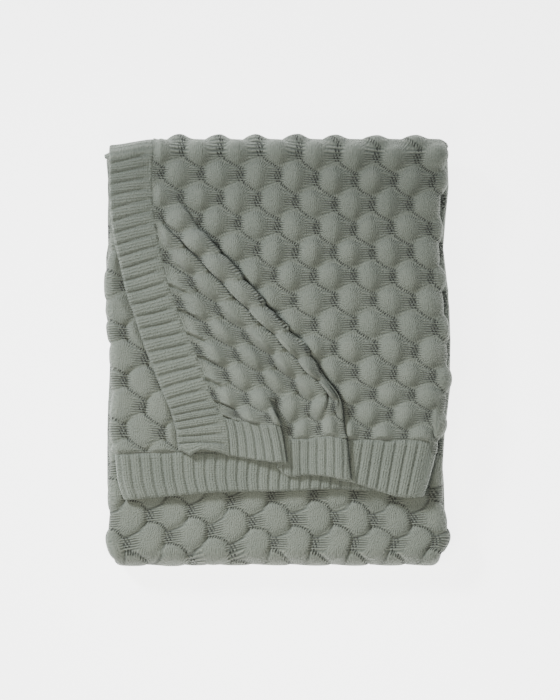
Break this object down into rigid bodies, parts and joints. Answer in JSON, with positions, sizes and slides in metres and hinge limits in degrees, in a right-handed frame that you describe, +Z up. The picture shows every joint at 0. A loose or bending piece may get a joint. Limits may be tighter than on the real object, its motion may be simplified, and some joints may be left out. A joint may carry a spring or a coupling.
{
  "type": "folded throw blanket",
  "caption": "Knitted throw in raised bubble stitch with ribbed bands, folded flat in a stack with one corner drawn in.",
  "frame": {"origin": "on the ground under the middle of the folded stack's outline", "axes": "+Z up out of the stack, +Y from the hem side to the folded side at the back, +X to the right"},
  "size_m": [0.428, 0.5376, 0.0761],
  "materials": {
    "bubble_knit": "matt knitted cotton",
    "rib_knit": "matt knitted cotton"
  },
  "bodies": {
    "root": {"body": "bubble_knit", "band_left": "rib_knit", "band_right": "rib_knit", "band_bottom": "rib_knit", "band_top": "rib_knit"}
  },
  "joints": []
}
